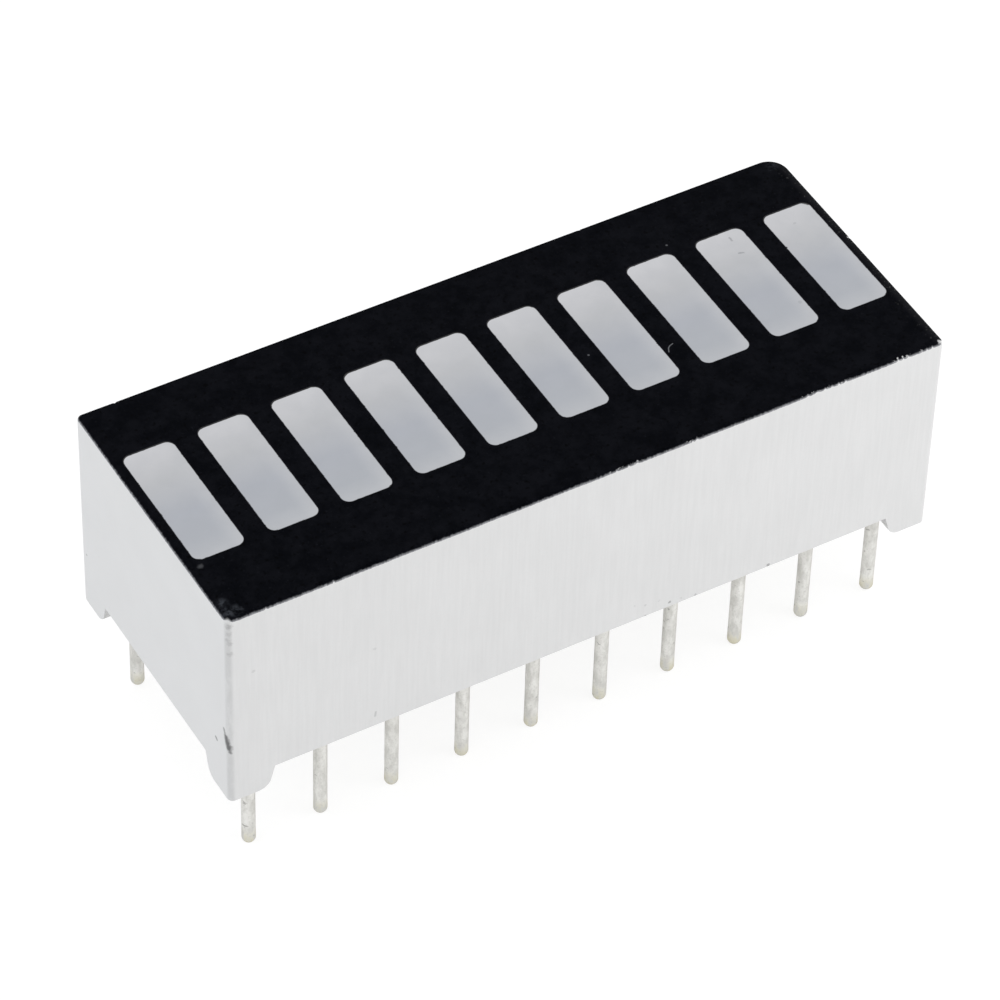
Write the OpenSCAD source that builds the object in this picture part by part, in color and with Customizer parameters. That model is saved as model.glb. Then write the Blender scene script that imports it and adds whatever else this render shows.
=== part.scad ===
// Light bar display with a row of separate segments and two rows of round pins.
// The origin is the middle of the pin grid on the seating plane, which is the plane of the foot bottoms.
// X runs along the row of segments, Y across it towards the row that starts with pin 1, and Z up to the face.

/* [Segments] */
// Number of light segments, each with one pin on either side
segments = 10; // [4:1:10]
// Distance from one segment to the next, and from one pin to the next
pitch = 2.54; // [2.4:0.02:3]
// Width of a window along the row
window_w = 1.75; // [1.4:0.05:1.95]
// Length of a window across the row
window_l = 5; // [3.6:0.1:5.4]
// Radius of the window corners
window_r = 0.3; // [0.25:0.05:0.5]
// Distance of the window row from the middle of the face
window_shift = 0.16; // [0:0.02:0.3]
// Draft angle in degrees of the walls of a light well, which closes in from the face down to the board
well_draft = 2.3; // [0.5:0.1:2.8]

/* [Housing] */
// Height from the seating plane to the face
body_h = 8; // [7:0.1:10]
// From the pin centres to the outside of the long walls
side_margin = 1.165; // [1.1:0.005:1.6]
// From the outermost pin centres to the outside of the end walls
end_margin = 1.22; // [1.1:0.01:1.8]
// Thickness of the skirt round the circuit board
skirt_t = 0.6; // [0.45:0.05:0.65]
// Radius of the three plain upright corners
corner_r = 0.2; // [0.2:0.05:0.5]
// Radius of the upright corner that marks pin 1
key_corner_r = 0.7; // [0.5:0.05:0.75]
// Radius of the edge round the face
rim_r = 0.13; // [0.08:0.01:0.18]
// Radius of the inside corners of the skirt
pocket_r = 0.2; // [0.18:0.02:0.5]
// Thickness of the black layer on the face
mask_t = 0.04; // [0.02:0.01:0.08]
// Diameter of the blind hole over each pin head
relief_d = 1; // [0.9:0.05:1.2]
// Depth of the blind hole over each pin head
relief_h = 0.5; // [0.45:0.05:0.8]

/* [Feet] */
// Height of the corner feet below the skirt
foot_h = 0.86; // [0.4:0.02:1.2]
// Flat length of a foot along each wall, measured from the corner
foot_flat = 1; // [0.76:0.01:1.2]
// Radius of the lower edge where a foot ends along a wall
foot_r = 0.45; // [0.2:0.01:0.6]
// Draft angle in degrees of the ends of a foot
foot_draft = 15; // [5:1:30]

/* [Pins] */
// Distance between the two rows of pins
row_spacing = 7.62; // [7.4:0.02:9]
// Diameter of a pin
pin_d = 0.46; // [0.4:0.01:0.54]
// Diameter of a pin at its head, to which it tapers from the seating plane
pin_head_d = 0.42; // [0.34:0.01:0.46]
// Length of a pin below the seating plane
pin_drop = 3.6; // [2.5:0.05:6]
// Length of a pin above the tracks of the board
pin_head = 0.3; // [0.1:0.05:0.4]

/* [Circuit board] */
// Thickness of the board
board_t = 1; // [0.6:0.1:1.4]
// Clearance between the board and the skirt
board_gap = 0.08; // [0.04:0.01:0.1]
// Thickness of the copper
copper_t = 0.035; // [0.02:0.005:0.07]
// Width of the copper ring round each pin
land_ring = 0.17; // [0.1:0.01:0.18]
// Width of a track
track_w = 0.5; // [0.4:0.05:0.6]
// Height of the solder cone under each pin hole
solder_h = 0.35; // [0.2:0.05:0.5]
// Width of the ring that a solder cone ends in
solder_lip = 0.04; // [0.02:0.01:0.06]

/* [Back seal] */
// Thickness of the resin behind the board
seal_t = 0.9; // [0.7:0.05:1.2]
// Depth of the resin surface inside the skirt
seal_recess = 0.2; // [0.16:0.02:0.4]
// Height to which the resin creeps along the skirt and the pins
creep_h = 0.12; // [0.06:0.02:0.14]
// Width of the creep at the resin surface
creep_w = 0.15; // [0.1:0.01:0.19]
// Width of the creep where it ends
creep_lip = 0.02; // [0.01:0.01:0.04]

/* [Light source] */
// Side of a chip
chip_w = 0.3; // [0.2:0.02:0.4]
// Height of a chip
chip_h = 0.18; // [0.1:0.02:0.3]
// Distance from the middle of a chip to the foot of its wire
loop_span = 0.9; // [0.7:0.05:1.2]
// Diameter of a bond wire
wire_d = 0.03; // [0.02:0.005:0.05]
// Diameter of the ball that a wire starts from
ball_d = 0.09; // [0.08:0.01:0.12]
// Height of that ball
ball_h = 0.03; // [0.02:0.005:0.05]
// Copper left beyond a chip and beyond the foot of its wire
pad_margin = 0.2; // [0.1:0.02:0.24]
// Room that the cast resin leaves round a chip and its wire
resin_gap = 0.01; // [0.005:0.005:0.02]

/* [Hidden] */
$fn = 64;
pins = 2 * segments;
body_l = (segments - 1) * pitch + 2 * end_margin;
body_w = row_spacing + 2 * side_margin;
body_corners = [key_corner_r, corner_r, corner_r, corner_r];
pocket_l = body_l - 2 * skirt_t;
pocket_w = body_w - 2 * skirt_t;
pocket_corners = [for (i = [0:3]) pocket_r];
pin_r = pin_d / 2;
land_r = pin_r + land_ring;
loop_r = loop_span / 2;

// Heights above the seating plane, from the feet up
seal_z = foot_h + seal_recess;
board_z = seal_z + seal_t;
board_top = board_z + board_t;
seat_z = board_top + copper_t;
face_z = body_h - mask_t;
rim_z = face_z - rim_r;
well_h = body_h - seat_z;
chip_top = seat_z + chip_h;
wire_z = chip_top + ball_h;
// Overlap of a cutting shape past the face that it cuts
through = 1;
// Lean of a light well's walls over its height, to the nearest micrometre
microns = 1000;
well_inset = round(microns * well_h * tan(well_draft)) / microns;

function numbered(name, k) = str(name, "_", k < 10 ? "0" : "", k);
function segment_x(k) = ((segments + 1) / 2 - k) * pitch;
// Pins are counted anticlockwise as seen from the face, so pin k and pin (pins + 1 - k) feed one segment
function pin_x(k) = segment_x(k <= segments ? k : pins + 1 - k);
function pin_y(k) = k <= segments ? row_spacing / 2 : -row_spacing / 2;

// A quarter of a disc in the first quadrant
module quarter_disc(r) {
    intersection() {
        circle(r);
        square(2 * r);
    }
}

// Sign of a corner's place, counted anticlockwise from the corner at +X +Y
function corner_x(i) = i == 0 || i == 3 ? 1 : -1;
function corner_y(i) = i < 2 ? 1 : -1;
// Centre of a corner's arc, and the points on the outline where that arc starts and ends
function arc_centre(l, w, r, i) = [corner_x(i) * (l / 2 - r), corner_y(i) * (w / 2 - r)];
function on_end_wall(l, w, r, i) = [corner_x(i) * l / 2, corner_y(i) * (w / 2 - r)];
function on_long_wall(l, w, r, i) = [corner_x(i) * (l / 2 - r), corner_y(i) * w / 2];
function notch(l, w, r, i) =
    i % 2 == 0
    ? [on_end_wall(l, w, r, i), arc_centre(l, w, r, i), on_long_wall(l, w, r, i)]
    : [on_long_wall(l, w, r, i), arc_centre(l, w, r, i), on_end_wall(l, w, r, i)];

// A rectangle whose four corners have their own radii
module rounded_plan(l, w, radii) {
    polygon([for (i = [0:3]) each notch(l, w, radii[i], i)]);
    for (i = [0:3])
        translate(arc_centre(l, w, radii[i], i)) rotate(90 * i) quarter_disc(radii[i]);
}

module body_plan(inset = 0) {
    rounded_plan(body_l - 2 * inset, body_w - 2 * inset, [for (r = body_corners) r - inset]);
}

module pocket_plan() {
    rounded_plan(pocket_l, pocket_w, pocket_corners);
}

// A block with rounded upright corners whose four walls lean out by the same amount from z = 0 up to z = h
module drafted_block(l, w, r, lean, h) {
    low_r = r - lean;
    flat_l = l - 2 * r;
    flat_w = w - 2 * r;
    rotate([90, 0, 90])
        linear_extrude(flat_l, center = true)
            polygon([
                [-flat_w / 2 - low_r, 0],
                [flat_w / 2 + low_r, 0],
                [flat_w / 2 + r, h],
                [-flat_w / 2 - r, h]
            ]);
    rotate([90, 0, 0])
        linear_extrude(flat_w, center = true)
            polygon([
                [-flat_l / 2 - low_r, 0],
                [flat_l / 2 + low_r, 0],
                [flat_l / 2 + r, h],
                [-flat_l / 2 - r, h]
            ]);
    for (i = [0:3])
        translate(arc_centre(l, w, r, i))
            rotate(90 * i)
                rotate_extrude(angle = 90)
                    polygon([[0, 0], [low_r, 0], [r, h], [0, h]]);
}

// The space of one light well, from the tracks of the board up to the face
module light_well(k) {
    translate([segment_x(k), window_shift, seat_z])
        drafted_block(window_w, window_l, window_r, well_inset, well_h);
}

module at_pins() {
    for (k = [1:pins])
        translate([pin_x(k), pin_y(k), 0]) children();
}

// The top of the housing, with a rounded edge that follows its walls and corners
module rounded_rim() {
    linear_extrude(rim_r) body_plan(rim_r);
    for (i = [0:3]) {
        along_row = i % 2 == 0;
        half = (along_row ? body_w : body_l) / 2;
        run = along_row ? body_l : body_w;
        start = -run / 2 + body_corners[i];
        end = run / 2 - body_corners[(i + 1) % 4];
        rotate(90 * (i + 1))
            translate([half - rim_r, end, 0])
                rotate([90, 0, 0])
                    linear_extrude(end - start) quarter_disc(rim_r);
        translate(arc_centre(body_l, body_w, body_corners[i], i))
            rotate(90 * i)
                rotate_extrude(angle = 90)
                    translate([body_corners[i] - rim_r, 0]) quarter_disc(rim_r);
    }
}

// The end of a foot along a wall: a rounded lower edge that runs into a drafted side
module foot_end() {
    edge_r = min(foot_r, foot_h);
    side_start = [edge_r * cos(foot_draft), edge_r * (1 - sin(foot_draft))];
    side_end = [side_start.x + (foot_h - side_start.y) * tan(foot_draft), foot_h];
    translate([foot_flat, 0, 0])
        rotate([90, 0, 0])
            linear_extrude(skirt_t) {
                intersection() {
                    translate([0, edge_r]) circle(edge_r);
                    polygon([[0, 0], [side_start.x, 0], side_start, [0, edge_r]]);
                }
                polygon([[0, edge_r], side_start, side_end, [0, foot_h]]);
            }
}

// The skirt reaches down at each corner, along both walls
module feet() {
    linear_extrude(foot_h)
        intersection() {
            difference() {
                body_plan();
                pocket_plan();
            }
            for (i = [0:3])
                translate([corner_x(i) * body_l / 2, corner_y(i) * body_w / 2])
                    square(2 * foot_flat, center = true);
        }
    for (side_x = [0, 1], side_y = [0, 1])
        mirror([side_x, 0, 0])
            mirror([0, side_y, 0])
                translate([-body_l / 2, -body_w / 2, 0]) {
                    translate([0, skirt_t, 0]) foot_end();
                    mirror([1, -1, 0]) translate([0, skirt_t, 0]) foot_end();
                }
}

module housing() {
    color("whitesmoke")
        difference() {
            union() {
                translate([0, 0, foot_h]) linear_extrude(rim_z - foot_h) body_plan();
                translate([0, 0, rim_z]) rounded_rim();
                feet();
            }
            translate([0, 0, -through]) linear_extrude(seat_z + through) pocket_plan();
            for (k = [1:segments])
                light_well(k);
            at_pins() translate([0, 0, seat_z]) cylinder(d = relief_d, h = relief_h);
        }
}

module face_mask() {
    color("black")
        difference() {
            translate([0, 0, face_z]) linear_extrude(mask_t) body_plan(rim_r);
            for (k = [1:segments])
                light_well(k);
        }
}

module window_lens(k) {
    color("lightgray")
        difference() {
            light_well(k);
            chip_block(k, resin_gap);
            wire_loop(k, resin_gap);
        }
}

module chip_block(k, gap = 0) {
    side = chip_w + 2 * gap;
    translate([segment_x(k) - side / 2, window_shift - side / 2, seat_z]) cube([side, side, chip_h + gap]);
}

module led_chip(k) {
    color("goldenrod") chip_block(k);
}

// A wire rises from its ball on the chip in a half ring and comes straight down to the track beside it
module wire_loop(k, gap = 0) {
    wire_r = wire_d / 2 + gap;
    translate([segment_x(k), window_shift, 0]) {
        translate([0, 0, chip_top]) cylinder(d = ball_d + 2 * gap, h = ball_h + gap);
        translate([0, loop_r, wire_z])
            rotate([90, 0, 90])
                rotate_extrude(angle = 180)
                    translate([loop_r, 0]) circle(wire_r);
        translate([0, loop_span, seat_z]) cylinder(r = wire_r, h = wire_z - seat_z);
    }
}

module bond_wire(k) {
    color("gold") wire_loop(k);
}

module circuit_board() {
    color("seagreen")
        difference() {
            translate([0, 0, board_z])
                linear_extrude(board_t)
                    rounded_plan(
                        pocket_l - 2 * board_gap,
                        pocket_w - 2 * board_gap,
                        [for (r = pocket_corners) r - board_gap]
                    );
            at_pins() translate([0, 0, board_z - through]) cylinder(d = pin_d, h = board_t + 2 * through);
        }
}

module ring_plan() {
    difference() {
        circle(land_r);
        circle(pin_r);
    }
}

// A track runs from the ring round a pin to the y of its inner end
module track(k, inner_y) {
    outer_y = pin_y(k);
    linear_extrude(copper_t)
        difference() {
            union() {
                translate([pin_x(k), outer_y]) circle(land_r);
                translate([pin_x(k) - track_w / 2, min(inner_y, outer_y)])
                    square([track_w, abs(outer_y - inner_y)]);
            }
            translate([pin_x(k), outer_y]) circle(pin_r);
        }
}

module board_copper() {
    color("peru") {
        translate([0, 0, board_top])
            for (k = [1:pins])
                track(k, k <= segments
                    ? window_shift + loop_span - pad_margin
                    : window_shift + chip_w / 2 + pad_margin);
        at_pins() translate([0, 0, board_z - copper_t]) linear_extrude(copper_t) ring_plan();
    }
}

// A round pin with a round tip below the seating plane, and above it a slight taper that enters the board
module pin_shape() {
    head_z = seat_z + pin_head;
    tip_z = pin_r - pin_drop;
    rotate_extrude() {
        polygon([[0, tip_z], [pin_r, tip_z], [pin_r, 0], [pin_head_d / 2, head_z], [0, head_z]]);
        translate([0, tip_z]) rotate(270) quarter_disc(pin_r);
    }
}

// One cone of solder, widest on the ring of copper under the board
module solder_cone() {
    translate([0, 0, board_z - copper_t - solder_h])
        cylinder(h = solder_h, r1 = pin_r + solder_lip, r2 = land_r);
}

module solder_joints() {
    color("silver")
        at_pins()
            difference() {
                solder_cone();
                pin_shape();
            }
}

// The resin behind the board, which creeps a little way along the skirt and the pins
module back_seal() {
    color("ivory")
        difference() {
            union() {
                translate([0, 0, seal_z]) linear_extrude(seal_t) pocket_plan();
                difference() {
                    translate([0, 0, seal_z - creep_h]) linear_extrude(creep_h) pocket_plan();
                    translate([0, 0, seal_z])
                        mirror([0, 0, 1])
                            drafted_block(
                                pocket_l - 2 * creep_lip,
                                pocket_w - 2 * creep_lip,
                                pocket_r - creep_lip,
                                creep_w - creep_lip,
                                creep_h
                            );
                }
                at_pins()
                    translate([0, 0, seal_z - creep_h])
                        cylinder(h = creep_h, r1 = pin_r + creep_lip, r2 = pin_r + creep_w);
            }
            at_pins() {
                pin_shape();
                translate([0, 0, board_z - copper_t]) cylinder(r = land_r, h = copper_t + through);
                solder_cone();
            }
        }
}

module pin(k) {
    color("lightsteelblue")
        translate([pin_x(k), pin_y(k), 0]) pin_shape();
}

housing();
face_mask();
circuit_board();
board_copper();
solder_joints();
back_seal();
for (k = [1:segments]) {
    window_lens(k);
    led_chip(k);
    bond_wire(k);
}
for (k = [1:pins])
    pin(k);
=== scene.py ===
# %% [markdown]
# # Dressing a ten-segment light bar
# The part is a small display: a white moulded block, a printed black face with ten milky windows, and
# twenty tinned pins that come out of a cast resin back. Its solids come from model.glb, so this lesson only
# adds what a solid can't hold: the finish of every surface, the ragged edge of the print, the tin on the
# pins and the level of the resin. The imported part is loaded first, because everything is placed by it.

import bpy
import numpy as np
from mathutils import Matrix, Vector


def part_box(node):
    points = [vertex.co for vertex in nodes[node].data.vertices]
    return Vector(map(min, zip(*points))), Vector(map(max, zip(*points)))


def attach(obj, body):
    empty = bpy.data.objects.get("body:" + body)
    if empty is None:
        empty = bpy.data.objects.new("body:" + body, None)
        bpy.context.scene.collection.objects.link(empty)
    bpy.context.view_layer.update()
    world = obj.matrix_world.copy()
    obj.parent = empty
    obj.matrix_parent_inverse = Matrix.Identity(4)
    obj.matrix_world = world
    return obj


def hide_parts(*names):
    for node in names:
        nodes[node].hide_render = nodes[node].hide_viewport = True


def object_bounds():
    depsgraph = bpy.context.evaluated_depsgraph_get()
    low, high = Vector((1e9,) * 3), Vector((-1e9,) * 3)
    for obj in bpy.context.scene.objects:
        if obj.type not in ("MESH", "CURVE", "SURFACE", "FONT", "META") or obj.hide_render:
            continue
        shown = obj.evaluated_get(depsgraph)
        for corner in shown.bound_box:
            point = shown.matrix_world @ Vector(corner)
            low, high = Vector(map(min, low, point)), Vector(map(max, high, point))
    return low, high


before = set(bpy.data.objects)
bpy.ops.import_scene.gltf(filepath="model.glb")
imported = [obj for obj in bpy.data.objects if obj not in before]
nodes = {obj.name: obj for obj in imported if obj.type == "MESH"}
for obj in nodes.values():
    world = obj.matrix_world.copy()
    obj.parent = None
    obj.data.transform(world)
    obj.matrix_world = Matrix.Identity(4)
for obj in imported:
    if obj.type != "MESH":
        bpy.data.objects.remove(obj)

cad_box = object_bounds()
print("solids:", len(nodes), "box in mm:", [[round(1000 * v, 3) for v in corner] for corner in cad_box])

# %% [markdown]
# ## Sizes that the looks share
# Blender works in metres, and this part is measured in tenths of a millimetre. All the shapes below are
# worked out in millimetres and turned into metres at the very end, which keeps the numbers readable. What
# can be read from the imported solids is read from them, and the few radii that a box can't tell are written
# down once.

# %% Read the main sizes
MM = 0.001


def box_mm(name):
    """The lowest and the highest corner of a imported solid, in millimetres."""
    return np.array(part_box(name)) / MM


half_l, half_w = box_mm("housing")[1, :2]
mask_low, mask_high = box_mm("face_mask")
face_top, ink_t = mask_high[2], mask_high[2] - mask_low[2]
rim_r = half_l - mask_high[0]
corner_radii = [0.7, 0.2, 0.2, 0.2]
pitch = 2.54
lens_low, lens_high = box_mm("window_lens_01")
window_half, window_r = (lens_high - lens_low)[:2] / 2, 0.3
window_y = (lens_low[1] + lens_high[1]) / 2
print(f"half length {half_l:.3f}, half width {half_w:.3f}, rim radius {rim_r:.3f}, ink {ink_t:.3f} thick")

# %% [markdown]
# ## The camera
# The portrait is taken with a long lens from the near left, about 45 degrees above the table. What matters
# is the place of the camera, the point that it looks at and a small roll. From these the three axes of the
# camera follow by cross products, and Blender takes them as the columns of one matrix. The lamps are aimed
# by the same function later.

# %% Set up the camera
def looking(place, aim, roll=0.0):
    """The pose of a thing that looks from one point at another, both in millimetres. Its back axis runs
    from the aim to the place, its right axis is level until the roll turns it, and up is square to both."""
    back = np.subtract(place, aim) / np.linalg.norm(np.subtract(place, aim))
    level = np.cross([0, 0, 1], back)
    level /= np.linalg.norm(level)
    right = level * np.cos(roll) + np.cross(back, level) * np.sin(roll)
    pose = np.eye(4)
    pose[:3] = np.stack([right, np.cross(back, right), back, np.multiply(place, MM)], axis=1)
    return Matrix(pose.tolist())


camera_place, camera_aim = (-60.945, -100.401, 121.040), (-3.034, -4.407, 8.0)
camera_roll = np.radians(1.86)
optics = bpy.data.cameras.new("portrait")
optics.sensor_width, optics.lens, optics.clip_start = 36, 189.888, 0.01
camera = bpy.data.objects.new("portrait", optics)
camera.matrix_world = looking(camera_place, camera_aim, camera_roll)
bpy.context.scene.collection.objects.link(camera)
bpy.context.scene.camera = camera
print("camera is", round(float(np.linalg.norm(np.subtract(camera_place, camera_aim)))), "mm away")

# %% [markdown]
# ## A few words for finishes
# Every finish below is a small tree of shader nodes. Typing out each node and link would bury the idea, so
# a handful of helpers give the trees a vocabulary: add a node, do a sum, fade between two values, blend two
# colours. All of them work on the place of a point in millimetres, read from the Object coordinates, so a
# pattern has a true size and stays where it is when the camera moves.

# %% Helpers for node trees
def add(tree, kind, inputs=(), **settings):
    """Adds one shader node. Settings are its menus; inputs pair a socket with a value or an output."""
    node = tree.nodes.new("ShaderNode" + kind)
    for name, value in settings.items():
        setattr(node, name, value)
    for socket, value in dict(inputs).items():
        if isinstance(value, bpy.types.NodeSocket):
            tree.links.new(value, node.inputs[socket])
        else:
            node.inputs[socket].default_value = value
    return node


def calc(tree, operation, *values):
    """One sum on numbers."""
    return add(tree, "Math", enumerate(values), operation=operation).outputs[0]


def vector(tree, operation, *values):
    """One sum on vectors, whose answer is a vector."""
    return add(tree, "VectorMath", enumerate(values), operation=operation).outputs["Vector"]


def axis(tree, place, name):
    """One coordinate of a place."""
    return add(tree, "SeparateXYZ", {0: place}).outputs[name]


def apart(tree, place, point):
    """The straight distance between a place and a point."""
    return add(tree, "VectorMath", {0: place, 1: point}, operation="DISTANCE").outputs["Value"]


def noise(tree, place, scale, detail=2.0, rough=0.5):
    """Cloudy noise from 0 to 1, with `scale` clouds to the millimetre."""
    inputs = {"Vector": place, "Scale": scale, "Detail": detail, "Roughness": rough}
    return add(tree, "TexNoise", inputs, noise_dimensions="3D").outputs[0]


print("helpers for node trees ready")

# %% Helpers for masks
def fade(tree, value, full, none):
    """1 where the value is at `full`, 0 where it is at `none`, with a smooth step between the two."""
    inputs = {"Value": value, "From Min": none, "From Max": full}
    return add(tree, "MapRange", inputs, interpolation_type="SMOOTHSTEP").outputs[0]


def product(tree, *masks):
    """Several masks multiplied together."""
    total = masks[0]
    for mask in masks[1:]:
        total = calc(tree, "MULTIPLY", total, mask)
    return total


def together(tree, *masks):
    """The strongest of several masks."""
    total = masks[0]
    for mask in masks[1:]:
        total = calc(tree, "MAXIMUM", total, mask)
    return total


def blend(tree, factor, below, above):
    """Lays one colour over another by a factor from 0 to 1."""
    return add(tree, "Mix", {0: factor, 6: below, 7: above}, data_type="RGBA").outputs[2]


print("helpers for masks ready")

# %% Helpers for colours and surfaces
def srgb(*levels):
    """The light of each 0 to 255 screen level: a short straight foot, then a power of 2.4."""
    level = np.array(levels) / 255
    light = np.where(level <= 0.04045, level / 12.92, ((level + 0.055) / 1.055) ** 2.4)
    return (*light.tolist(), 1.0)


def grey(level):
    """A neutral colour."""
    return srgb(level, level, level)


def finish(name):
    """Starts a finish: its material, its node tree, its shader and the place of a point in millimetres."""
    material = bpy.data.materials.new(name)
    material.use_nodes = True
    tree = material.node_tree
    coordinate = add(tree, "TexCoord").outputs["Object"]
    place = add(tree, "Mapping", {"Vector": coordinate, "Scale": (1 / MM,) * 3}).outputs[0]
    return material, tree, tree.nodes["Principled BSDF"], place


def coat(tree, shader, colour, pattern, smooth, rough):
    """Gives the shader its colour, and a roughness from smooth to rough as a pattern goes from 0 to 1."""
    tree.links.new(colour, shader.inputs["Base Color"])
    roughness = calc(tree, "MULTIPLY_ADD", pattern, rough - smooth, smooth)
    tree.links.new(roughness, shader.inputs["Roughness"])


def dents(tree, shader, height, depth):
    """Lets light fall on the finish as if it were raised by height times depth, in millimetres."""
    bump = add(tree, "Bump", {"Height": height, "Distance": depth * MM, "Strength": 1.0})
    tree.links.new(bump.outputs[0], shader.inputs["Normal"])


print("white 220 is a light of", round(srgb(220)[0], 3))

# %% Helpers for marks
def spot(tree, place, point, radius, strength=1.0, soft=0.5):
    """A round mark: full inside its radius times `soft`, gone at its radius."""
    return product(tree, fade(tree, apart(tree, place, point), radius * soft, radius), strength)


def spots(tree, place, marks, soft=0.5):
    """Several round marks, each given as x, y, z, radius and strength."""
    return together(tree, *(spot(tree, place, mark[:3], *mark[3:], soft) for mark in marks))


def stroke(tree, place, start, end, width, strength=1.0, soft=0.4):
    """A straight mark. The nearest point of its line is the shadow of the place on the line, held to the
    line's two ends."""
    run = np.subtract(end, start)
    from_start = vector(tree, "SUBTRACT", place, start)
    shares = {0: from_start, 1: (run / run.dot(run)).tolist()}
    along = add(tree, "VectorMath", shares, operation="DOT_PRODUCT").outputs["Value"]
    held = add(tree, "Clamp", {0: along}).outputs[0]
    scaled = add(tree, "VectorMath", {0: run.tolist(), "Scale": held}, operation="SCALE")
    distance = apart(tree, from_start, scaled.outputs["Vector"])
    return product(tree, fade(tree, distance, width * soft, width), strength)


def strokes(tree, place, marks, soft=0.4):
    """Several straight marks, each given as its start, end, width and strength."""
    return together(tree, *(stroke(tree, place, *mark, soft) for mark in marks))


def uneven(tree, place, scale, reach):
    """The place, pushed about at random by up to half of `reach`, which gives a mark a ragged outline."""
    push = add(tree, "TexNoise", {"Vector": place, "Scale": scale, "Detail": 3.0}).outputs["Color"]
    push = vector(tree, "MULTIPLY", vector(tree, "SUBTRACT", push, (0.5,) * 3), (reach,) * 3)
    return vector(tree, "ADD", place, push)


print("helpers for marks ready")

# %% [markdown]
# ## The white block
# The block is moulded from a white filled plastic. Its long walls carry fine upright drag lines from the
# tool, its ends are smoother, and handling has left a dark scuff and a few dots. The near upright edge is
# painted a patchy grey band, a painted shade of its rounded corner, with a few rubbed spots on it. One could
# paint all this on an unwrapped image, but noise that is stretched along Z gives the drag lines at once, and
# each mark is only a point or a line in space.

# %% Finish of the block
housing_white, tree, shader, place = finish("housing_white")
off_middle = calc(tree, "ABSOLUTE", axis(tree, place, "Y"))
long_wall = fade(tree, off_middle, half_w - 0.02, half_w - 0.12)
lines_per_mm, line_stretch = 9.0, 0.5
line_place = vector(tree, "MULTIPLY", place, (lines_per_mm, lines_per_mm, line_stretch))
drag_lines = noise(tree, line_place, 1.0, detail=3.0, rough=0.6)
clouds = noise(tree, place, 0.55, detail=3.0)
grain = noise(tree, place, 9.0, detail=3.0, rough=0.6)
white = blend(tree, fade(tree, clouds, 0.7, 0.3), grey(222), grey(224))
lined = product(tree, fade(tree, drag_lines, 0.28, 0.72), long_wall, 0.2)
white = blend(tree, lined, white, grey(204))
white = blend(tree, product(tree, fade(tree, grain, 0.2, 0.5), 0.2), white, grey(210))
print("drag lines about", round(1 / lines_per_mm, 2), "mm apart")

# %% Painted shade and wear on the near upright edge
edge_inset = 0.06
edge_point = (edge_inset - half_l, edge_inset - half_w, 0)
edge_distance = apart(tree, vector(tree, "MULTIPLY", place, (1, 1, 0)), edge_point)
patchy = noise(tree, vector(tree, "MULTIPLY", place, (3.0, 3.0, 1.2)), 1.0, detail=4.0, rough=0.7)
# Painted shade: a patchy grey band along the near upright edge stands for the shade of its rounded corner
edge = product(tree, fade(tree, edge_distance, 0.05, 0.18), fade(tree, patchy, 0.6, 0.2), 0.8)
white = blend(tree, edge, white, grey(203))
rubs = spots(tree, uneven(tree, place, scale=18.0, reach=0.3), (
    (-12.57, -4.94, 7.72, 0.17, 0.60),
    (-12.57, -4.94, 7.40, 0.16, 0.35),
    (-12.60, -4.92, 7.15, 0.14, 0.40),
    (-12.54, -4.96, 7.00, 0.14, 0.45),
    (-12.54, -4.96, 6.54, 0.15, 0.40),
), soft=0.1)
white = blend(tree, rubs, white, grey(152))
ragged = uneven(tree, place, scale=9.0, reach=0.12)
scuff = strokes(tree, ragged, (
    ((-12.65, -4.69, 3.05), (-12.65, -4.80, 2.70), 0.11, 0.7),
    ((-12.65, -4.78, 2.82), (-12.61, -4.90, 2.36), 0.16, 1.0),
    ((-12.62, -4.89, 2.40), (-12.58, -4.93, 2.20), 0.10, 0.8),
), soft=0.2)
white = blend(tree, scuff, white, grey(108))
print("shaded edge at", np.round(edge_point[:2], 2).tolist())

# %% Dots on the block
dots = together(
    tree,
    stroke(tree, ragged, (-12.65, -4.14, 2.16), (-12.65, -4.17, 2.10), 0.08),
    stroke(tree, place, (-7.58, -4.97, 1.45), (-7.60, -4.97, 1.28), 0.05, 0.4),
    spots(tree, ragged, (
        (-7.64, -4.95, 4.32, 0.07, 0.25),
        (-11.78, -4.95, 5.45, 0.08, 0.25),
        (-12.62, 4.61, 2.18, 0.06, 0.80),
        (1.68, -4.97, 1.53, 0.06, 0.20),
        (2.06, -4.97, 1.35, 0.06, 0.30),
        (2.09, -4.97, 0.87, 0.06, 0.60),
        (2.58, -4.97, 1.31, 0.06, 0.20),
        (2.97, -4.97, 1.06, 0.07, 0.80),
        (3.41, -4.97, 1.02, 0.07, 0.20),
        (3.94, -4.97, 0.91, 0.06, 0.50),
        (6.63, -4.97, 0.92, 0.07, 0.80),
    )),
)
white = blend(tree, product(tree, dots, 0.7), white, grey(105))
coat(tree, shader, white, grain, smooth=0.42, rough=0.62)
shader.inputs["Specular IOR Level"].default_value = 0.35
drag_relief = product(tree, drag_lines, long_wall)
dents(tree, shader, calc(tree, "MULTIPLY_ADD", drag_relief, 0.5, product(tree, grain, 0.3)), 0.003)
print("finish of the block:", len(tree.nodes), "nodes")
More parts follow.
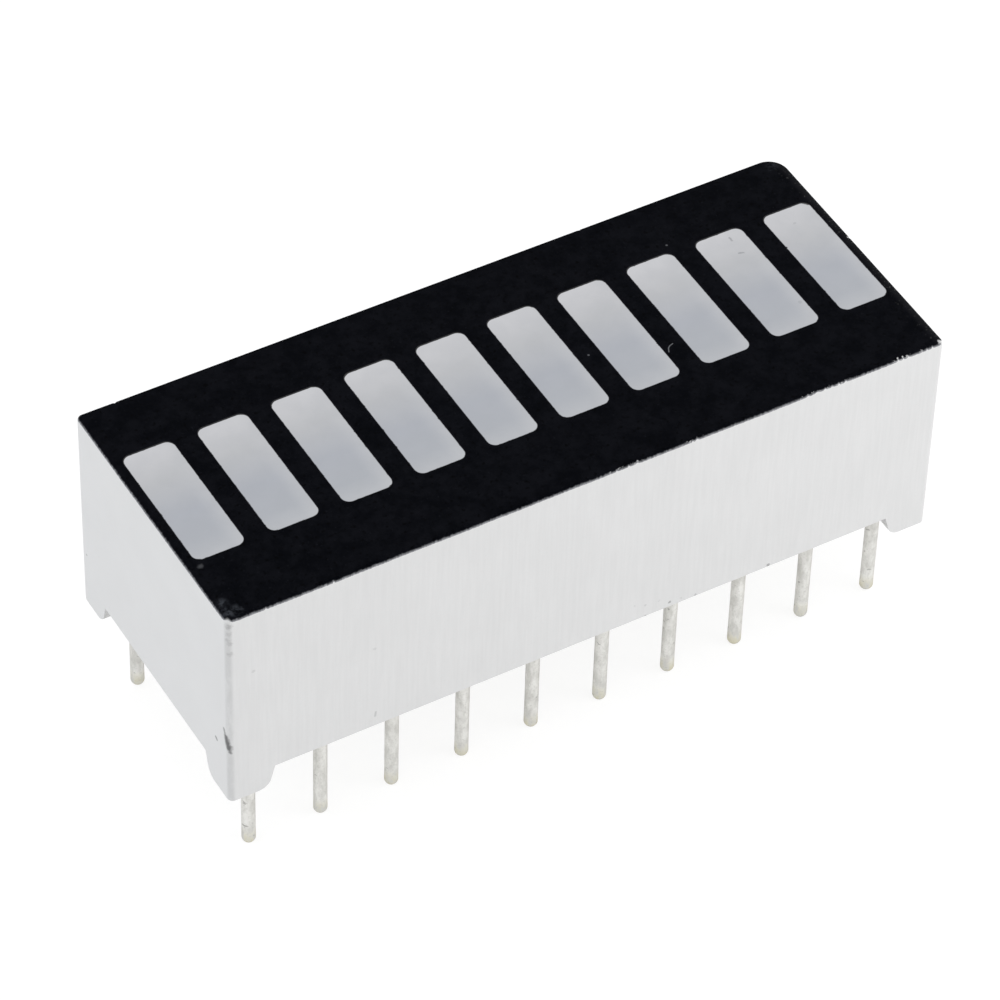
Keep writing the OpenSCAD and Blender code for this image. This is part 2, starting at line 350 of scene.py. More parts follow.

# %% [markdown]
# ## The black print
# The face is screen printed with a dull black ink. Close up it isn't even: it is mottled where the mesh of
# the screen let more or less ink through, dust has settled in it, most at the right end, and the corners
# are rubbed. The right end is also painted a lighter grey, a painted sheen for the light that its rim
# catches. Black paint in a bright room is easily too grey, because its shine adds to it, so the specular
# level is kept low, as on a matt ink.

# %% Finish of the print
face_black, tree, shader, place = finish("face_black")
mottle = noise(tree, place, 1.7, detail=5.0, rough=0.7)
pits = noise(tree, place, 11.0, detail=3.0, rough=0.6)
pinholes = noise(tree, place, 6.5)
black = blend(tree, fade(tree, mottle, 0.68, 0.34), srgb(2, 3, 7), srgb(12, 13, 18))
black = blend(tree, fade(tree, pits, 0.74, 0.6), black, srgb(20, 21, 26))
black = blend(tree, product(tree, fade(tree, pinholes, 0.3, 0.42), 0.8), black, srgb(0, 0, 1))
ragged = uneven(tree, place, scale=5.0, reach=0.12)
fibre = [(*point, face_top) for point in ((4.80, -1.29), (4.88, -1.13), (4.97, -1.06), (5.10, -1.02))]
dust = together(
    tree,
    strokes(tree, place, [(start, end, 0.024, 0.4) for start, end in zip(fibre, fibre[1:])]),
    spot(tree, place, (2.53, -0.22, face_top), 0.05, 0.25),
    spot(tree, place, (7.27, 2.95, face_top), 0.05, 0.25),
    spot(tree, ragged, (-12.25, -2.56, face_top), 0.14, 0.15, soft=0.2),
)
black = blend(tree, dust, black, srgb(150, 152, 156))
print("finish of the print:", len(tree.nodes), "nodes so far")

# %% Rubbed corners, painted sheen and dust at the right end of the print
rub = fade(tree, noise(tree, place, 4.0, detail=3.0, rough=0.6), 0.66, 0.42)
corners = spots(tree, place, (
    (-12.42, -4.22, face_top, 0.3, 1.0),
    (-12.12, -4.66, face_top, 0.3, 1.0),
    (-12.43, -4.63, face_top, 0.4, 1.0),
    (12.20, 4.55, face_top, 0.3, 0.6),
), soft=0.1)
black = blend(tree, product(tree, corners, rub, 0.8), black, srgb(62, 65, 71))
x = axis(tree, place, "X")
# Painted sheen: the last 0.4 mm of the right end is laid over with a lighter grey, for the light that the
# rim catches
painted_sheen_end = product(tree, fade(tree, x, half_l - 0.05, half_l - 0.4), 0.3)
black = blend(tree, painted_sheen_end, black, srgb(50, 50, 52))
pepper = fade(tree, noise(tree, place, 10.0), 0.7, 0.62)
dusty_end = product(tree, pepper, fade(tree, x, half_l - 0.1, half_l - 0.6), 0.5)
black = blend(tree, dusty_end, black, srgb(84, 84, 82))
print("finish of the print:", len(tree.nodes), "nodes so far")

# %% Thin edge and bare spots of the print
thin = add(tree, "Attribute", attribute_name="thin").outputs["Fac"]
frayed = calc(tree, "MULTIPLY_ADD", calc(tree, "SUBTRACT", pits, 0.5), 0.5, thin)
black = blend(tree, product(tree, fade(tree, frayed, 1.05, 0.45), 0.8), black, srgb(176, 177, 181))
# Knocked stretches of the near edge: place along X and radius
knocks = ((0.8, 0.4), (1.35, 0.4), (3.55, 0.4), (7.7, 0.5), (8.4, 0.9), (11.1, 0.5), (12.1, 0.5))
knocked = spots(tree, place, [(along_x, -half_w, face_top, radius, 1.0) for along_x, radius in knocks])
flecks = fade(tree, noise(tree, place, 11.0), 0.66, 0.58)
flecks = product(tree, flecks, fade(tree, thin, 0.5, 0.3), knocked, 0.7)
black = blend(tree, flecks, black, grey(190))
bare = together(
    tree,
    spot(tree, ragged, (12.50, -4.88, 7.98), 0.09),
    spot(tree, ragged, (10.94, -4.91, 7.97), 0.045),
    spot(tree, ragged, (11.12, -4.92, 7.97), 0.035),
    spot(tree, ragged, (12.56, 0.54, 7.98), 0.045),
    spot(tree, ragged, (-12.59, -4.91, 7.95), 0.14, 0.75, soft=0.1),
)
black = blend(tree, product(tree, bare, 0.85), black, grey(205))
coat(tree, shader, black, mottle, smooth=0.5, rough=0.75)
shader.inputs["Specular IOR Level"].default_value = 0.02
dents(tree, shader, calc(tree, "MULTIPLY_ADD", pits, 0.5, mottle), 0.006)
print("finish of the print:", len(tree.nodes), "nodes")

# %% [markdown]
# ## The milky windows
# Each window is a well of the block filled with milky resin. Light that enters it comes back from the white
# walls of the well, so a window is palest along its far wall and its right wall and a cool grey in the
# middle. That glow lies in the resin and not on it, so it is written into the colour: one gradient along Y
# and one along X that repeats with the pitch. The print overlaps each window a little and unevenly, most at
# the far edge, and the distance to the window's outline draws that.

# %% Where a point lies in its own window
window_resin, tree, shader, place = finish("window_resin")
from_gap = calc(tree, "SUBTRACT", axis(tree, place, "X"), pitch / 2)
across = calc(tree, "WRAP", from_gap, pitch / 2, -pitch / 2)
along = calc(tree, "SUBTRACT", axis(tree, place, "Y"), window_y)
# Distance from the outline, a rectangle with round corners: the corner's radius less the length of what
# lies past the straight part of the sides. The far side is drawn in by the ink that covers it.
far_ink = 0.04
open_half = window_half - window_r - (0, far_ink / 2)
open_place = (across, calc(tree, "ADD", along, far_ink / 2))
past = [calc(tree, "SUBTRACT", calc(tree, "ABSOLUTE", v), half) for v, half in zip(open_place, open_half)]
squares = [calc(tree, "POWER", calc(tree, "MAXIMUM", v, 0.0), 2.0) for v in past]
to_edge = calc(tree, "SUBTRACT", window_r, calc(tree, "SQRT", calc(tree, "ADD", *squares)))
print("window", np.round(2 * window_half, 2).tolist(), "mm, corner radius", window_r)

# %% Finish of the windows
half_window = window_half[1]
depth = add(tree, "MapRange", {"Value": along, "From Min": half_window, "From Max": -half_window})
ramp = add(tree, "ValToRGB", {0: depth.outputs[0]})
bands = ramp.color_ramp.elements
bands[0].position, bands[0].color = 0.02, srgb(199, 199, 202)
bands[1].position, bands[1].color = 1.0, srgb(181, 183, 187)
for position, levels in ((0.3, (184, 185, 188)), (0.6, (170, 173, 180)), (0.85, (171, 174, 180))):
    bands.new(position).color = srgb(*levels)
right_glow = product(tree, fade(tree, across, 0.87, 0.25), 0.55)
milk = blend(tree, right_glow, ramp.outputs[0], srgb(190, 191, 194))
haze = noise(tree, place, 1.4, detail=3.0)
milk = blend(tree, product(tree, fade(tree, haze, 0.35, 0.65), 0.1), milk, srgb(150, 154, 160))
ragged = uneven(tree, place, scale=7.0, reach=0.1)
specks = together(
    tree,
    stroke(tree, ragged, (9.20, 2.30, face_top), (9.22, 2.14, face_top), 0.05, 0.45),
    stroke(tree, ragged, (9.10, 1.54, face_top), (9.24, 1.50, face_top), 0.05, 0.45),
    spot(tree, ragged, (11.4, 1.9, face_top), 0.07, 0.2),
    spot(tree, ragged, (9.6, -1.3, face_top), 0.09, 0.2),
)
milk = blend(tree, specks, milk, srgb(112, 114, 118))
print("gradient bands:", len(bands))

# %% Print that overlaps the windows
creep = noise(tree, place, 5.0, detail=4.0, rough=0.7)
overlap = product(tree, calc(tree, "POWER", fade(tree, creep, 0.9, 0.35), 2.0), 0.05)
inked = together(
    tree,
    fade(tree, calc(tree, "SUBTRACT", to_edge, overlap), 0.0, 0.025),
    stroke(tree, ragged, (12.14, 2.58, face_top), (12.27, 2.46, face_top), 0.06, 0.85),
    spot(tree, ragged, (10.56, 1.05, face_top), 0.05),
)
on_face = fade(tree, axis(tree, place, "Z"), face_top - 0.01, face_top - 0.05)
milk = blend(tree, product(tree, inked, on_face), milk, srgb(12, 13, 15))
coat(tree, shader, milk, haze, smooth=0.32, rough=0.52)
shader.inputs["Specular IOR Level"].default_value = 0.3
dents(tree, shader, noise(tree, place, 3.0, detail=3.0), 0.004)
print("finish of the windows:", len(tree.nodes), "nodes")

# %% [markdown]
# ## Tin on the pins
# The pins are wire that was dipped in molten tin. Tin is a soft grey metal with a faint warm cast; it is
# duller where it set slowly, yellows at the tips where flux stayed, and carries small dark handling marks.
# A dull skin of oxide lies on it, so it is only in part a mirror. The pattern goes into the base colour and
# the roughness, and a darker edge tint keeps the sides of a thin pin from melting into a white background.

# %% Finish of the pins
pin_low, pin_high = box_mm("pin_01")
tip_z, head_z = pin_low[2], pin_high[2]
pin_tin, tree, shader, place = finish("pin_tin")
height = axis(tree, place, "Z")
cloud = noise(tree, vector(tree, "MULTIPLY", place, (4.0, 4.0, 1.6)), 1.0, detail=4.0, rough=0.65)
crystals = noise(tree, place, 13.0, detail=3.0, rough=0.65)
tin = blend(tree, fade(tree, cloud, 0.3, 0.7), srgb(239, 238, 234), srgb(210, 209, 204))
tin = blend(tree, product(tree, fade(tree, crystals, 0.3, 0.5), 0.4), tin, srgb(186, 185, 179))
near_tip = fade(tree, height, tip_z + 0.1, tip_z + 0.9)
flux = product(tree, near_tip, fade(tree, cloud, 0.6, 0.35), 0.8)
tin = blend(tree, flux, tin, srgb(208, 202, 172))
# Painted shade: the last tenth of a millimetre of the tip is darkened in patches, for the shade at the tip
at_tip = fade(tree, height, tip_z, tip_z + 0.12)
painted_tip_shade = product(tree, at_tip, fade(tree, crystals, 0.6, 0.4), 0.65)
tin = blend(tree, painted_tip_shade, tin, srgb(136, 134, 126))
print("finish of the pins:", len(tree.nodes), "nodes so far")

# %% Marks and shine of the pins
ring_flatness = 4
ring_place = vector(tree, "MULTIPLY", place, (1, 1, ring_flatness))
ring_mark = spot(tree, ring_place, (-11.64, -3.92, -2.68 * ring_flatness), 0.18, 0.6)
scratches = noise(tree, vector(tree, "MULTIPLY", place, (4.0, 4.0, 7.0)), 1.0)
marks = together(tree, ring_mark, product(tree, fade(tree, scratches, 0.73, 0.67), 0.5))
tin = blend(tree, marks, tin, srgb(112, 111, 106))
coat(tree, shader, tin, crystals, smooth=0.3, rough=0.6)
shader.inputs["Metallic"].default_value = 0.55
shader.inputs["Specular Tint"].default_value = (0.55, 0.55, 0.53, 1)
dents(tree, shader, calc(tree, "MULTIPLY_ADD", crystals, 0.4, cloud), 0.008)
print("finish of the pins:", len(tree.nodes), "nodes")

# %% [markdown]
# ## The resin back
# The back of the display is filled with a thin casting resin that levels itself and shines. It sets
# slightly yellow and keeps a few tiny bubbles. Bubbles are round and scattered, which is what Voronoi cells
# give: a bubble sits at the middle of a cell, and only the cells with a high random number have one.

# %% Finish of the resin back
seal_resin, tree, shader, place = finish("seal_resin")
flow = noise(tree, place, 0.35, detail=4.0)
amber = blend(tree, fade(tree, flow, 0.3, 0.7), srgb(206, 205, 196), srgb(190, 189, 178))
froth = add(tree, "TexVoronoi", {"Vector": place, "Scale": 1.3}, feature="F1")
lot = add(tree, "SeparateColor", {0: froth.outputs["Color"]}).outputs[0]
bubble = product(tree, fade(tree, froth.outputs["Distance"], 0.06, 0.12), fade(tree, lot, 0.8, 0.74))
amber = blend(tree, product(tree, bubble, 0.5), amber, srgb(158, 156, 146))
coat(tree, shader, amber, flow, smooth=0.1, rough=0.25)
dents(tree, shader, calc(tree, "MULTIPLY_ADD", bubble, -0.6, flow), 0.03)
print("finish of the resin back:", len(tree.nodes), "nodes")

# %% [markdown]
# ## What lies inside
# The board, its copper, the solder, the chips and their wires are closed in, but whoever takes the part to
# pieces in a scene sees them. Each is two tones of its own stuff mixed by noise, with the glass cloth of
# the board as a fine check.

# %% Finishes of the inner pieces
def two_tone(name, light, dark, scale, metallic, smooth):
    """A finish of two tones of one material, mixed by fine noise that also varies its shine."""
    material, tree, shader, place = finish(name)
    mix = noise(tree, place, scale, detail=4.0, rough=0.6)
    coat(tree, shader, blend(tree, fade(tree, mix, 0.35, 0.65), light, dark), mix, smooth, smooth + 0.2)
    shader.inputs["Metallic"].default_value = metallic
    dents(tree, shader, mix, 0.003)
    return material, tree, place


copper = two_tone("copper", srgb(214, 150, 108), srgb(190, 122, 84), 6.0, 1.0, 0.25)[0]
solder = two_tone("solder", srgb(196, 196, 194), srgb(166, 166, 164), 5.0, 1.0, 0.2)[0]
chip = two_tone("chip", srgb(178, 146, 92), srgb(148, 116, 70), 20.0, 0.0, 0.25)[0]
gold_wire = two_tone("gold_wire", srgb(248, 214, 138), srgb(232, 190, 108), 20.0, 1.0, 0.2)[0]
glass_light, glass_dark = srgb(164, 176, 134), srgb(148, 162, 118)
board_laminate, tree, place = two_tone("board_laminate", glass_light, glass_dark, 2.0, 0.0, 0.4)
cloth = {"Vector": place, "Scale": 2.5, "Color1": glass_light, "Color2": glass_dark}
tree.links.new(add(tree, "TexChecker", cloth).outputs[0], tree.nodes["Mix"].inputs[6])
print("inner finishes:", [m.name for m in (copper, solder, chip, gold_wire, board_laminate)])

# %% Put the finishes on the solids
finishes = {
    "housing": housing_white, "face_mask": face_black, "window_lens": window_resin,
    "pin": pin_tin, "back_seal": seal_resin, "circuit_board": board_laminate, "board_copper": copper,
    "solder_joints": solder, "led_chip": chip, "bond_wire": gold_wire,
}
for name, solid in nodes.items():
    for slot in solid.material_slots:
        slot.material = finishes[name.rstrip("0123456789").rstrip("_")]
print("solids dressed:", len(nodes))

# %% [markdown]
# ## Surfaces from grids of points
# The new pieces are all made in one way: numpy works out a grid of points, row by row, and the cells of the
# grid become the faces of a mesh. A grid may close on itself along its rows or columns, which makes a tube
# or a ring, and a pole closes each end of a tube with a fan of triangles.

# %% Make a mesh from a grid
def grid_faces(rows, columns, ring_rows=False, ring_columns=False):
    """The four corners of each cell of a grid, as numbers of points counted row by row. A ring joins the
    last row or column to the first."""
    number = np.arange(rows * columns).reshape(rows, columns)
    number = np.vstack([number, number[:1]]) if ring_rows else number
    number = np.hstack([number, number[:, :1]]) if ring_columns else number
    corners = (number[:-1, :-1], number[:-1, 1:], number[1:, 1:], number[1:, :-1])
    return np.stack(corners, axis=-1).reshape(-1, 4)


def make_piece(name, points, faces, material):
    """Builds a smooth mesh from points in millimetres, and lets it ride on the part."""
    mesh = bpy.data.meshes.new(name)
    mesh.from_pydata((points.reshape(-1, 3) * MM).tolist(), [], faces)
    mesh.polygons.foreach_set("use_smooth", np.ones(len(mesh.polygons), bool))
    mesh.materials.append(material)
    mesh.validate()
    piece = bpy.data.objects.new(name, mesh)
    bpy.context.scene.collection.objects.link(piece)
    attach(piece, "root")
    return piece


def volume(piece):
    """The volume inside a closed piece in mm3: a sixth of the sum, over its triangles, of the triple
    product of their corners."""
    mesh = piece.data
    mesh.calc_loop_triangles()
    corners = np.empty(3 * len(mesh.loop_triangles), np.int32)
    mesh.loop_triangles.foreach_get("vertices", corners)
    points = np.empty(3 * len(mesh.vertices), np.float32)
    mesh.vertices.foreach_get("co", points)
    a, b, c = points.reshape(-1, 3)[corners.reshape(-1, 3)].transpose(1, 0, 2) / MM
    return float((a * np.cross(b, c)).sum() / 6)


print("grid tools ready")

# %% [markdown]
# ## The ragged edge of the print
# The ink doesn't stop at the flat of the face. It runs a little way over the rounded rim and ends there in
# a thin, uneven line, with white chips where the edge was knocked. A sharp texture could draw that line,
# but then the ink would have no thickness at the chips. So it is a thin closed profile carried round the
# block: the profile follows the rim from the top of the face, thins out, and turns back along the plastic,
# and the angle at which it ends changes along the path.

# %% Walk round the block
def outline(step):
    """Once round the plan, anticlockwise: each corner is a quarter circle with its own radius, each wall a
    line. Returns the points and the direction outwards at each."""
    points, outwards = [], []
    signs = np.array([(1, 1), (-1, 1), (-1, -1), (1, -1)])
    centres = signs * (np.array([half_l, half_w]) - np.array(corner_radii)[:, None])
    for i, (centre, radius) in enumerate(zip(centres, corner_radii)):
        arc_points = max(12, int(radius * np.pi / 2 / step))
        turn = np.radians(90) * (i + np.linspace(0, 1, arc_points))
        out = np.stack([np.cos(turn), np.sin(turn)], axis=1)
        leave = centre + radius * out[-1]
        arrive = centres[(i + 1) % 4] + corner_radii[(i + 1) % 4] * out[-1]
        share = np.linspace(0, 1, int(np.linalg.norm(arrive - leave) / step))[1:-1, None]
        points += [centre + radius * out, leave + share * (arrive - leave)]
        outwards += [out, np.repeat(out[-1:], len(share), axis=0)]
    return np.concatenate(points), np.concatenate(outwards)


rim_points, rim_out = outline(step=0.02)
print("steps round the block:", len(rim_points))

# %% Chips of the print
# Chips of the near edge: place along X, half width along the edge and depth from 0 to 1
near_chips = (
    (-11.32, 0.03, 0.24), (-9.04, 0.03, 0.3), (0.75, 0.03, 0.24), (1.18, 0.03, 0.3), (1.48, 0.05, 0.24),
    (3.45, 0.03, 0.24), (3.61, 0.05, 0.3), (7.62, 0.05, 0.24), (7.95, 0.10, 0.24), (8.25, 0.04, 0.3),
    (8.5, 0.05, 0.24), (8.75, 0.03, 0.3), (9.0, 0.05, 0.24), (10.94, 0.04, 0.36), (11.12, 0.03, 0.3),
    (11.31, 0.04, 0.3), (12.0, 0.03, 0.24), (12.2, 0.03, 0.3),
)
# Chips of the corners and the other edges, with their place along Y
other_chips = (
    (-12.6, -4.92, 0.14, 0.6), (12.6, -4.9, 0.06, 0.7), (12.65, 0.54, 0.04, 0.6),
    (-11.33, 4.975, 0.05, 0.7), (5.2, 4.975, 0.04, 0.5),
)
chips = np.array([(along_x, -half_w, *size) for along_x, *size in near_chips] + list(other_chips))
gap = ((rim_points[:, None] - chips[None, :, :2]) ** 2).sum(axis=2) / chips[:, 2] ** 2
left_by_chips = np.prod(1 - chips[:, 3] * np.exp(-gap), axis=1)
print("chips:", len(chips), "of which the deepest leaves", left_by_chips.min().round(2), "of the ink")

# %% Let the ink end unevenly
def ripple(count, lengths, seed):
    """Smooth random waves that close on themselves: for each wave length, white noise whose faster waves
    are damped."""
    spectrum = np.fft.rfft(np.random.default_rng(seed).normal(size=(len(lengths), count)), axis=1)
    wave = np.fft.rfftfreq(count)[None] * np.array(lengths)[:, None]
    waves = np.fft.irfft(spectrum * np.exp(-(wave**2)), count, axis=1)
    return waves / waves.std(axis=1, keepdims=True)


slow, quick = ripple(len(rim_points), lengths=[80, 3], seed=11)
ink_angle, slow_swing, quick_swing, most_swing = 66, 1.2, 1.5, 6
swing = np.clip(slow_swing * slow + quick_swing * quick, -most_swing, most_swing)
reach = np.radians((ink_angle + swing) * left_by_chips)
print("ink ends between", *np.degrees([reach.min(), reach.max()]).round(1), "degrees")

# %% Carry the ink's profile round the rim
# Each point of the profile lies on a circle about the middle of the rim's curve: nine points go down at the
# rim's radius plus the ink's thickness, and three come back at the rim's own radius
down = np.linspace(0, 1, 9)
share = np.concatenate([down, down[::-3]])
end_t, thinning, most_share = 0.004, 0.8, 0.998
thick = end_t + (ink_t - end_t) * (1 - down) ** thinning
radius = rim_r + np.concatenate([thick, np.zeros(3)])[None]
turn = reach[:, None] * share
inset = rim_r - np.minimum(radius * np.sin(turn), most_share * rim_r)
ink_z = face_top - ink_t - rim_r + radius * np.cos(turn)
flat = rim_points[:, None] - inset[..., None] * rim_out[:, None]
ink_points = np.concatenate([flat, ink_z[..., None]], axis=2)
ink_faces = grid_faces(*ink_points.shape[:2], True, True)
ink_edge = make_piece("ink_edge", ink_points, ink_faces.tolist(), face_black)
thin_values = np.tile(share, len(rim_points)).astype(np.float32)
ink_edge.data.attributes.new("thin", "FLOAT", "POINT").data.foreach_set("value", thin_values)
print("ink edge:", len(ink_faces), "faces,", round(volume(ink_edge), 3), "mm3")

# %% [markdown]
# ## Tinned pins
# A dipped pin isn't a perfect cylinder: the tin is a few hundredths of a millimetre thick, drains towards
# the tip and leaves faint waves. Each pin is a surface of revolution whose radius also changes a little
# with the angle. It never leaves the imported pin, so it only gets thinner, and every pin has its own waves
# from one seeded random generator.

# %% Shape of a pin
pin_r, head_r = (pin_high[0] - pin_low[0]) / 2, 0.21
tip_rings, shank_rings, pin_sides = 11, 44, 30
bend = np.radians(np.linspace(8, 90, tip_rings))
rise = np.linspace(tip_z + pin_r, head_z, shank_rings)[1:]
ring_z = np.concatenate([tip_z + pin_r * (1 - np.cos(bend)), rise])[:, None]
shank_r = np.interp(rise, [0, head_z], [pin_r, head_r])
angle = np.radians(np.arange(0, 360, 360 / pin_sides))
# Waves of the tin: turns round the pin, radians to the millimetre along it, and share
wave_turns, wave_pace, wave_share = np.array([(1, 2, 3, 0), (2.1, -3.4, 6.0, 1.3), (1, 1, 0.7, 1)])
# Loss of radius as a share, and the tin that drained: its thickness, its height above the tip and its rate
least_loss, wave_loss, drain_t, drain_z, drain_rate = 0.008, 0.002, 0.003, 0.5, 6
chance = np.random.default_rng(seed=5)


def pin_surface(centre):
    """A round bar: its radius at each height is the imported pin's, less four sine waves of angle and height
    and the tin that drained from above the tip. The tip is a rounded cone: its radius and its distance from
    the shoulder, each to a power from 1.4 to 2, add up to a constant."""
    phase, beat, power = chance.uniform(0, 6.3, 4), chance.uniform(0.7, 1.3, 4), chance.uniform(1.4, 2.0)
    packed_r = np.concatenate([pin_r * (1 - np.cos(bend) ** power) ** (1 / power), shank_r])[:, None]
    turned = wave_turns * angle[:, None] + wave_pace * beat * ring_z[..., None] + phase
    waves = (wave_share * np.sin(turned)).sum(axis=-1)
    drained = drain_t / (1 + np.exp(-drain_rate * (ring_z - tip_z - drain_z)))
    radius = packed_r * (1 - least_loss - wave_loss * waves - drained / pin_r)
    height = np.broadcast_to(ring_z, radius.shape)
    rings = np.stack([radius * np.cos(angle), radius * np.sin(angle), height], axis=2)
    poles = np.array([[0, 0, tip_z], [0, 0, head_z]])
    return np.concatenate([rings.reshape(-1, 3), poles]) + np.array([*centre, 0])


print("pin", round(2 * pin_r, 3), "mm thick and", round(head_z - tip_z, 3), "mm long")

# %% Make the pins
rows, columns = len(ring_z), pin_sides
ring = np.arange(columns)
tip_pole, head_pole = rows * columns, rows * columns + 1
last_ring = ring + (rows - 1) * columns
tip_fan = np.stack([np.full(columns, tip_pole), np.roll(ring, -1), ring], axis=1)
head_fan = np.stack([np.full(columns, head_pole), last_ring, np.roll(last_ring, -1)], axis=1)
pin_faces = grid_faces(rows, columns, ring_columns=True).tolist() + tip_fan.tolist() + head_fan.tolist()
pin_names = [f"pin_{number:02d}" for number in range(1, 21)]
pin_centres = np.array([box_mm(name).mean(axis=0)[:2] for name in pin_names])
for name, centre in zip(pin_names, pin_centres):
    pin = make_piece("tinned_" + name, pin_surface(centre), pin_faces, pin_tin)
    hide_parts(name)
print("pins:", len(pin_names), "of", len(pin_faces), "faces, the last of", round(volume(pin), 3), "mm3")

# %% [markdown]
# ## The level of the resin
# Cast resin finds its own level and shrinks a little as it sets, so the back is a shallow dish. Where the
# resin touches a pin or a wall it climbs along it and sets in a curve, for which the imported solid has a
# straight bevel. Sculpting could shape that, but a formula gives the same curve at every pin: the climb
# fades with the distance to the nearest pin or wall. Twenty tiles, one round each pin, share their borders
# and join into one closed surface.

# %% Borders of the tiles
seal_low, seal_high = box_mm("back_seal")
pocket, pocket_r = seal_high[:2], 0.2
tile_centres = pin_centres.round(4)


def tile_borders(steps):
    """Clockwise round each tile, from the middle line to the wall and half a pitch to each side of its pin.
    Steps shorten towards the tile's corners: the share of a side is half of one less a cosine. In the
    pocket's own corners the border follows a quarter circle."""
    wall_y = np.sign(tile_centres[:, 1]) * pocket[1]
    low = np.stack([tile_centres[:, 0] - pitch / 2, np.minimum(0, wall_y)], axis=1)
    high = np.stack([tile_centres[:, 0] + pitch / 2, np.maximum(0, wall_y)], axis=1)
    (x0, y0), (x1, y1) = np.maximum(low, -pocket).T, np.minimum(high, pocket).T
    corners = np.stack([(x0, y0), (x0, y1), (x1, y1), (x1, y0)]).transpose(2, 0, 1)
    share = (1 - np.cos(np.pi * np.arange(steps) / steps)) / 2
    sides = (np.roll(corners, -1, axis=1) - corners)[:, :, None]
    border = (corners[:, :, None] + share[:, None] * sides).reshape(len(corners), -1, 2)
    past = (np.abs(border) - (pocket - pocket_r)) / pocket_r
    turn = np.radians(45) * (1 + past[..., 1] - past[..., 0])
    arc = pocket - pocket_r + pocket_r * np.stack([np.cos(turn), np.sin(turn)], axis=-1)
    return np.where((past > 0).all(axis=-1, keepdims=True), np.sign(border) * arc, border)


border = tile_borders(steps=12)
print("tiles:", len(border), "with", border.shape[1], "points round each")

# %% Height of the resin
# The level over the feet, the dip by shrinking, and the height and the reach of the climb
level, shrink, climb_h, climb_w = 1.06, 0.04, 0.12, 0.06


def wall_distance(plan):
    """How far inside the pocket a point lies; the pocket is a rectangle with rounded corners."""
    past = np.abs(plan) - (pocket - pocket_r)
    return pocket_r - np.linalg.norm(np.maximum(past, 0), axis=-1) - np.minimum(past.max(axis=-1), 0)


def resin_level(plan, to_pin):
    """The flat level, raised in the middle by the shrink and lowered by the climb at the nearest pin or
    wall, which fades as the power of e of the distance."""
    dish = shrink * np.prod(1 - (plan / pocket) ** 2, axis=-1)
    nearest = np.clip(np.minimum(to_pin, wall_distance(plan)), 0, None)
    return level + dish - (climb_h + dish) * np.exp(-nearest / climb_w)


away = border - tile_centres[:, None]
away_r = np.linalg.norm(away, axis=-1, keepdims=True)
outwards = (away / away_r)[:, None]
# Rings go from the border in to the pin and crowd at both, as one plus a cosine
inward = (1 + np.cos(np.linspace(0, np.pi, 24)))[:, None, None] / 2
foot_r = np.interp(seal_low[2], [0, head_z], [pin_r, head_r])
ring_r = foot_r + (away_r - foot_r)[:, None] * inward
under = tile_centres[:, None, None] + outwards * ring_r
under = np.concatenate([under, resin_level(under, ring_r[..., 0] - foot_r)[..., None]], axis=-1)
print("resin between", under[..., 2].min().round(3), "and", under[..., 2].max().round(3), "mm")

# %% Bore of the resin round the pins and the solder
(_, _, solder_low), (solder_end, _, solder_top) = box_mm("solder_joints")
land_r, solder_lip, lid_z = solder_end - tile_centres[:, 0].max(), 0.04, seal_high[2]
neck_r = np.interp(solder_low, [0, head_z], [pin_r, head_r])
bore_r = np.array([neck_r, pin_r + solder_lip, land_r, land_r])[:, None, None]
bore_z = np.array([solder_low, solder_low, solder_top, lid_z])[:, None, None]
bore = tile_centres[:, None, None] + outwards * bore_r
bore = np.concatenate([bore, np.broadcast_to(bore_z, (*bore.shape[:3], 1))], axis=-1)
lid = np.concatenate([border, np.full_like(away_r, lid_z)], axis=-1)[:, None]
resin_points = np.concatenate([under, bore, lid], axis=1)
print("grid of each tile:", resin_points.shape[1:3])

# %% Join the tiles
tiles, rows, columns = resin_points.shape[:3]
ring = np.arange(columns)
rim = np.stack([ring, np.roll(ring, -1)], axis=1)
wall_faces = np.concatenate([rim + (rows - 1) * columns, rim[:, ::-1]], axis=1)
first = np.arange(tiles)[:, None, None] * rows * columns
at_wall = wall_distance(border) < 1e-4
outer = (first + wall_faces)[at_wall & np.roll(at_wall, -1, axis=1)]
inner = (first + grid_faces(rows, columns, ring_columns=True)).reshape(-1, 4)
faces = np.concatenate([inner, outer])
points, kept = np.unique(resin_points.reshape(-1, 3).round(4), axis=0, return_inverse=True)
resin_back = make_piece("resin_back", points, kept.reshape(-1)[faces].tolist(), seal_resin)
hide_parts("back_seal")
print("resin back:", len(faces), "faces,", round(volume(resin_back), 2), "mm3")

# %% [markdown]
# ## The floor and the light
# The part stands on its pins on a plain white table. For the camera and for mirror rays the floor glows
# almost by itself and only a little of its light comes from the lamps, so it stays white and the shadow of
# the part is faint. For all other rays it is an ordinary white floor that throws light back at the walls.
# Seen from below it is clear, so that the underside can be looked at.

# %% Finish of the floor
def seen_directly(tree):
    """1 for rays from the camera and for those that a mirror or glass sends on, 0 for soft light."""
    path = add(tree, "LightPath")
    kinds = ("Camera", "Glossy", "Transmission")
    return together(tree, *(path.outputs[f"Is {kind} Ray"] for kind in kinds))


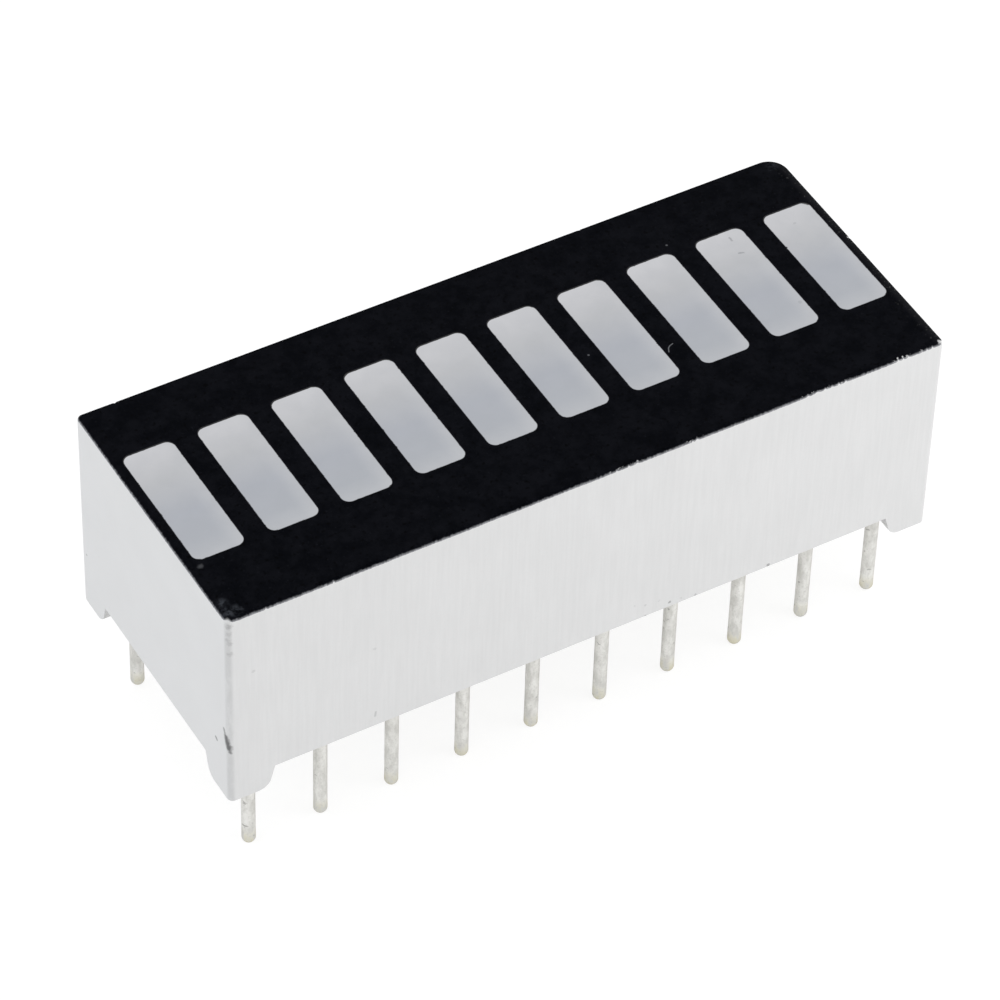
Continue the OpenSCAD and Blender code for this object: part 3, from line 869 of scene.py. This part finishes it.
floor_white = bpy.data.materials.new("floor_white")
floor_white.use_nodes = True
tree = floor_white.node_tree
tree.nodes.remove(tree.nodes["Principled BSDF"])
shaded = add(tree, "BsdfDiffuse", {"Color": (0.25, 0.25, 0.25, 1)}).outputs[0]
glowing = add(tree, "Emission", {"Strength": 0.82}).outputs[0]
bright = add(tree, "AddShader", {0: shaded, 1: glowing}).outputs[0]
plain = add(tree, "BsdfDiffuse", {"Color": (0.8, 0.8, 0.8, 1)}).outputs[0]
surface = add(tree, "MixShader", {0: seen_directly(tree), 1: plain, 2: bright}).outputs[0]
below = add(tree, "NewGeometry").outputs["Backfacing"]
clear = add(tree, "BsdfTransparent").outputs[0]
surface = add(tree, "MixShader", {0: below, 1: surface, 2: clear}).outputs[0]
tree.links.new(surface, tree.nodes["Material Output"].inputs["Surface"])
print("finish of the floor:", len(tree.nodes), "nodes")

# %% Lay the floor
floor_z = cad_box[0][2]
floor_side = np.array([-1.0, 1.0])
floor_x, floor_y = np.meshgrid(floor_side, floor_side)
corners = np.stack([floor_x, floor_y, np.full_like(floor_x, floor_z)], axis=2)
floor_mesh = bpy.data.meshes.new("floor")
floor_mesh.from_pydata(corners.reshape(-1, 3).tolist(), [], grid_faces(2, 2).tolist())
floor_mesh.materials.append(floor_white)
floor = bpy.data.objects.new("floor", floor_mesh)
bpy.context.scene.collection.objects.link(floor)
print("floor at", round(floor_z / MM, 2), "mm, facing", tuple(floor_mesh.polygons[0].normal))

# %% Light the part
world = bpy.data.worlds.new("studio")
bpy.context.scene.world = world
world.use_nodes = True
tree = world.node_tree
backdrop = tree.nodes["Background"]
backdrop.inputs["Color"].default_value = (1, 1, 1, 1)
around = add(tree, "Background", {"Color": (1, 1, 1, 1), "Strength": 0.96}).outputs[0]
seen = add(tree, "MixShader", {0: seen_directly(tree), 1: around, 2: backdrop.outputs[0]}).outputs[0]
tree.links.new(seen, tree.nodes["World Output"].inputs["Surface"])


def soft_box(name, place, aim, size, watts, colour):
    """A square lamp that looks from one point at another. Its size and both points are in millimetres."""
    lamp = bpy.data.lights.new(name, "AREA")
    lamp.size, lamp.energy, lamp.color = size * MM, watts, colour
    box = bpy.data.objects.new(name, lamp)
    box.matrix_world = looking(place, aim)
    bpy.context.scene.collection.objects.link(box)


soft_box("key", (62, -62, 30), (6, -4, 4), size=50, watts=0.015, colour=(1.0, 1.0, 1.0))
soft_box("fill", (-110, 10, 60), (-12, 0, 4), size=120, watts=0.0135, colour=(0.7, 0.84, 1.0))
bpy.context.scene.view_settings.view_transform = "Standard"
